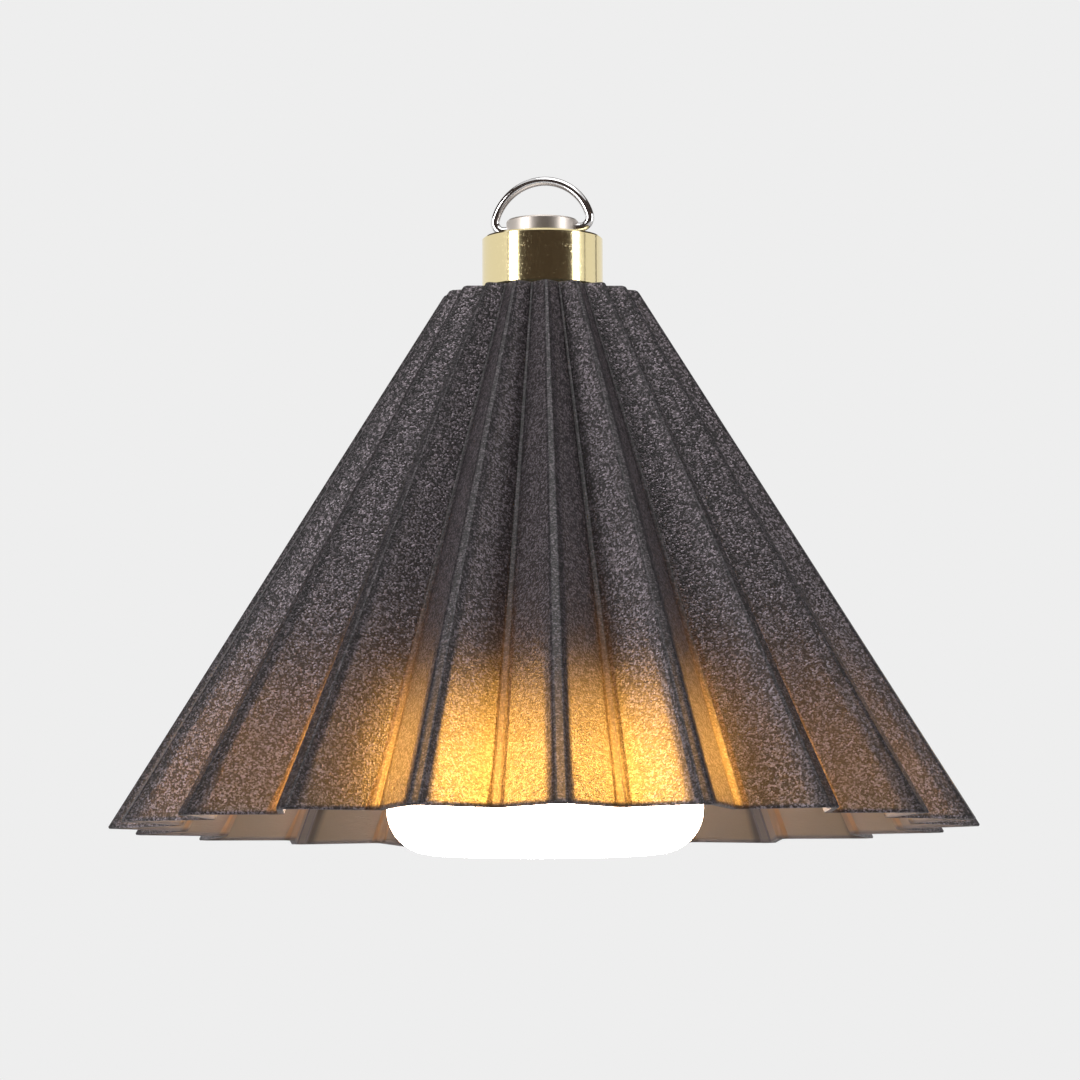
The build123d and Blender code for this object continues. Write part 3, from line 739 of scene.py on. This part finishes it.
flat_path = [(wire_end_gap / 2, 0), (corner_x / 2, 0)]
flat_path += arc((corner_x, ring_corner), ring_corner, -math.pi / 2, corner_end, ring_corner_steps)
flat_path += arc((0, bow_centre), bow_radius, corner_end, math.pi - corner_end, bow_steps)[1:-1]
flat_path += arc((-corner_x, ring_corner), ring_corner, math.pi - corner_end, 3 * math.pi / 2,
                 ring_corner_steps)
flat_path += [(-corner_x / 2, 0), (-wire_end_gap / 2, 0)]
bar = Vector((math.cos(ring_turn), math.sin(ring_turn), 0))
ring_path = [bar * x + Vector((0, 0, bar_height + y)) for x, y in flat_path]

bright_steel = turned_metal("bright_steel", (0.74, 0.73, 0.73, 1), 0.07, 0.0006, 0.000001)
ring = wire_mesh("ring_wire", ring_path, wire_radius)
seat(ring, bright_steel, "ring", "ring_steel", "hanging_ring")


# ======================================================================== diffuser
# An opal drum, blow moulded, with a rounded lower corner and a neck that plugs into the head.
# The LED board above its open top fills it with warm white light, which is brightest low down.

diffuser_low, diffuser_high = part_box("diffuser")
drum_radius = diffuser_high.x
drum_corner = 0.010
drum_wall = 0.002
neck_depth = 0.004
neck_step = 0.00185
neck_gap = 0.0002
drum_top = diffuser_high.z - neck_depth
neck_radius = drum_radius - neck_step - neck_gap
outer_corner_steps = 16
inner_corner_steps = 10
glow_low, glow_high = 38.0, 20.0
glow_from = 0.006
warm_white = [(0.3, (1.0, 0.72, 0.53)), (0.7, (1.0, 0.74, 0.57))]

opal, opal_tree, opal_coordinates, opal_output = new_material("lit_opal")
opal_cloud = node_of(opal_tree, "ShaderNodeTexNoise", Vector=opal_coordinates, Scale=40.0, Detail=2.0)
opal_height = node_of(opal_tree, "ShaderNodeSeparateXYZ", Vector=opal_coordinates).outputs["Z"]
opal_shader = node_of(
    opal_tree, "ShaderNodeBsdfPrincipled", Base_Color=(0.95, 0.93, 0.88, 1), Roughness=0.35,
    Emission_Color=ramp(opal_tree, opal_cloud.outputs[0], warm_white),
    Emission_Strength=mapped(opal_tree, opal_height, glow_from, drum_top, glow_low, glow_high,
                             "SMOOTHSTEP"))
opal_tree.links.new(opal_shader.outputs[0], opal_output.inputs["Surface"])


def drum_arc(radius, start, end, steps):
    """Points of the drum's lower corner, inside or outside."""
    points = arc((0, drum_corner), radius, start, end, steps)
    return [(drum_radius - drum_corner + out, height) for out, height in points]


drum_outline = [
    (0, 0),
    *drum_arc(drum_corner, -math.pi / 2, 0, outer_corner_steps),
    (drum_radius, drum_top), (neck_radius, drum_top), (neck_radius, diffuser_high.z),
    (neck_radius - drum_wall, diffuser_high.z), (neck_radius - drum_wall, drum_top - drum_wall),
    (drum_radius - drum_wall, drum_top - 2 * drum_wall),
    *drum_arc(drum_corner - drum_wall, 0, -math.pi / 2, inner_corner_steps),
    (0, drum_wall),
]
drum = turned("diffuser_drum", drum_outline, segments=128)
seat(drum, opal, "lantern", "opal", "diffuser")


# ======================================================================== light head and inner parts
# Die-cast, bead-blasted and black anodised aluminium, with the boards, battery and contacts in it.
# These keep their CAD shapes.

black_anodised = moulded("black_anodised", (0.035, 0.035, 0.038, 1), 0.45, pebble=0.0003, Metallic=0.6)
plain_finishes = {
    "head_housing": black_anodised,
    "body_tube": black_anodised,
    "diffuser_seal": rubber,
    "port_flap": rubber,
    "power_button": moulded("button_grey", (0.1, 0.1, 0.1, 1), 0.6),
    "tube_cap": turned_metal("milled_aluminium", (0.8, 0.8, 0.81, 1), 0.3, 0.0005, 0.000004),
    "battery_cell": moulded("cell_wrap", (0.08, 0.24, 0.42, 1), 0.3),
    "battery_sleeve": moulded("nylon", (0.78, 0.77, 0.74, 1), 0.5),
    "top_contact": turned_metal("contact_strip", (0.75, 0.73, 0.68, 1), 0.3, 0.0005, 0.000002),
    "led_board": moulded("white_board", (0.88, 0.88, 0.86, 1), 0.4),
    "led_chips": moulded("led_phosphor", (0.95, 0.82, 0.35, 1), 0.3),
    "driver_board": moulded("green_board", (0.03, 0.16, 0.08, 1), 0.35),
    "button_switch": moulded("switch_black", (0.05, 0.05, 0.05, 1), 0.4),
    "standoffs": turned_metal("pillar_brass", (0.78, 0.66, 0.36, 1), 0.25, 0.0005, 0.000002),
    "charging_socket": turned_metal("socket_steel", (0.7, 0.7, 0.7, 1), 0.25, 0.0005, 0.000001),
    "driver_screws": turned_metal("zinc_screw", (0.6, 0.6, 0.6, 1), 0.35, 0.0004, 0.000002),
}
for node, material in plain_finishes.items():
    finish_node(node, material)
finish_node("heat_spreader", plain_finishes["tube_cap"].copy())
finish_node("bottom_contact", plain_finishes["top_contact"].copy())
finish_node("led_board_screws", plain_finishes["driver_screws"].copy())


# ======================================================================== floor, light and background
# A pale floor well below the hanging lantern, in a pale room, with a soft box at each side and one
# overhead. Dark cloth in front of the lantern and in a ring above is seen in reflections only.

floor_height = -0.30
floor_radius = 2.6
floor_fade_start = 0.45 * floor_radius
card_radius = 1.9
card_step = math.radians(4)
# The parts of the cloth: from and to which turn, and from and to which rise, in degrees.
card_parts = (
    (-70, -67, -14, 26), (-46, 59, -14, 26), (87, 89.5, -14, 26), (122, 126, -14, 26),
    (-180, 180, 26, 52),
)
box_reach = 1.8
room_grey = (0.855, 0.855, 0.855, 1)
room_fill = 0.22


def direction(turn, rise):
    """The way that is turn from the front towards +X, and rise upwards."""
    return Vector((math.cos(rise) * math.sin(turn), -math.cos(rise) * math.cos(turn), math.sin(rise)))


def matt(name, colour, hidden):
    """A matt material, clear as far as hidden(tree, coordinates) says."""
    material, tree, coordinates, output = new_material(name)
    plain = node_of(tree, "ShaderNodeBsdfPrincipled", Base_Color=colour, Roughness=0.9)
    clear = tree.nodes.new("ShaderNodeBsdfTransparent")
    whole = mixed(tree, hidden(tree, coordinates), plain, clear)
    tree.links.new(whole.outputs[0], output.inputs["Surface"])
    return material


def floor_hidden(tree, coordinates):
    """The floor fades out towards its edge, and isn't seen from below."""
    distance = vector_maths(tree, "LENGTH", coordinates)
    faded = mapped(tree, distance, floor_fade_start, floor_radius, 0.0, 1.0, "SMOOTHSTEP")
    below = tree.nodes.new("ShaderNodeNewGeometry").outputs["Backfacing"]
    return maths(tree, "MAXIMUM", faded, below)


def card_hidden(tree, _):
    """The cloth isn't seen directly."""
    return tree.nodes.new("ShaderNodeLightPath").outputs["Is Camera Ray"]


floor_mesh = bmesh.new()
bmesh.ops.create_circle(floor_mesh, cap_ends=True, segments=96, radius=floor_radius,
                        matrix=Matrix.Translation((0, 0, floor_height)))
floor = finished("floor", floor_mesh, math.pi)
floor.data.materials.append(matt("pale_floor", (0.8, 0.8, 0.8, 1), floor_hidden))

card_mesh = bmesh.new()
for part in card_parts:
    start, end, low, high = (math.radians(side) for side in part)
    across = max(1, round((end - start) / card_step))
    upwards = round((high - low) / card_step)
    rows = []
    for up in range(upwards + 1):
        rise = low + (high - low) * up / upwards
        turns = [start + (end - start) * side / across for side in range(across + 1)]
        rows.append([card_mesh.verts.new(direction(turn, rise) * card_radius) for turn in turns])
    for lower, upper in zip(rows, rows[1:]):
        for step in range(across):
            card_mesh.faces.new((lower[step], lower[step + 1], upper[step + 1], upper[step]))
card = finished("dark_card", card_mesh, math.pi)
card.data.materials.append(matt("dark_cloth", (0.075, 0.055, 0.047, 1), card_hidden))


def soft_box(name, turn, rise, size, power):
    """A rectangular lamp that faces the lantern, at a turn and a rise in degrees."""
    lamp = bpy.data.lights.new(name, "AREA")
    lamp.shape = "RECTANGLE"
    lamp.size, lamp.size_y = size
    lamp.energy = power
    box = bpy.data.objects.new(name, lamp)
    way = direction(math.radians(turn), math.radians(rise))
    facing = way.to_track_quat("Z", "Y").to_matrix().to_4x4()
    box.matrix_world = Matrix.Translation(way * box_reach) @ facing
    bpy.context.scene.collection.objects.link(box)


soft_box("left_box", -57, 12, (0.44, 1.8), power=28)
soft_box("right_box", 67, 12, (0.36, 1.8), power=18)
soft_box("top_box", -10, 76, (1.3, 1.3), power=13)

world = bpy.data.worlds.new("pale_room")
bpy.context.scene.world = world
world.use_nodes = True
world_tree = world.node_tree
world_tree.nodes.clear()
light_path = world_tree.nodes.new("ShaderNodeLightPath").outputs
seen = maths(world_tree, "MAXIMUM", light_path["Is Camera Ray"],
             maths(world_tree, "MAXIMUM", light_path["Is Glossy Ray"], light_path["Is Transmission Ray"]))
background = node_of(world_tree, "ShaderNodeBackground", Color=room_grey,
                     Strength=mapped(world_tree, seen, 0.0, 1.0, room_fill, 1.0))
world_output = world_tree.nodes.new("ShaderNodeOutputWorld")
world_tree.links.new(background.outputs[0], world_output.inputs["Surface"])
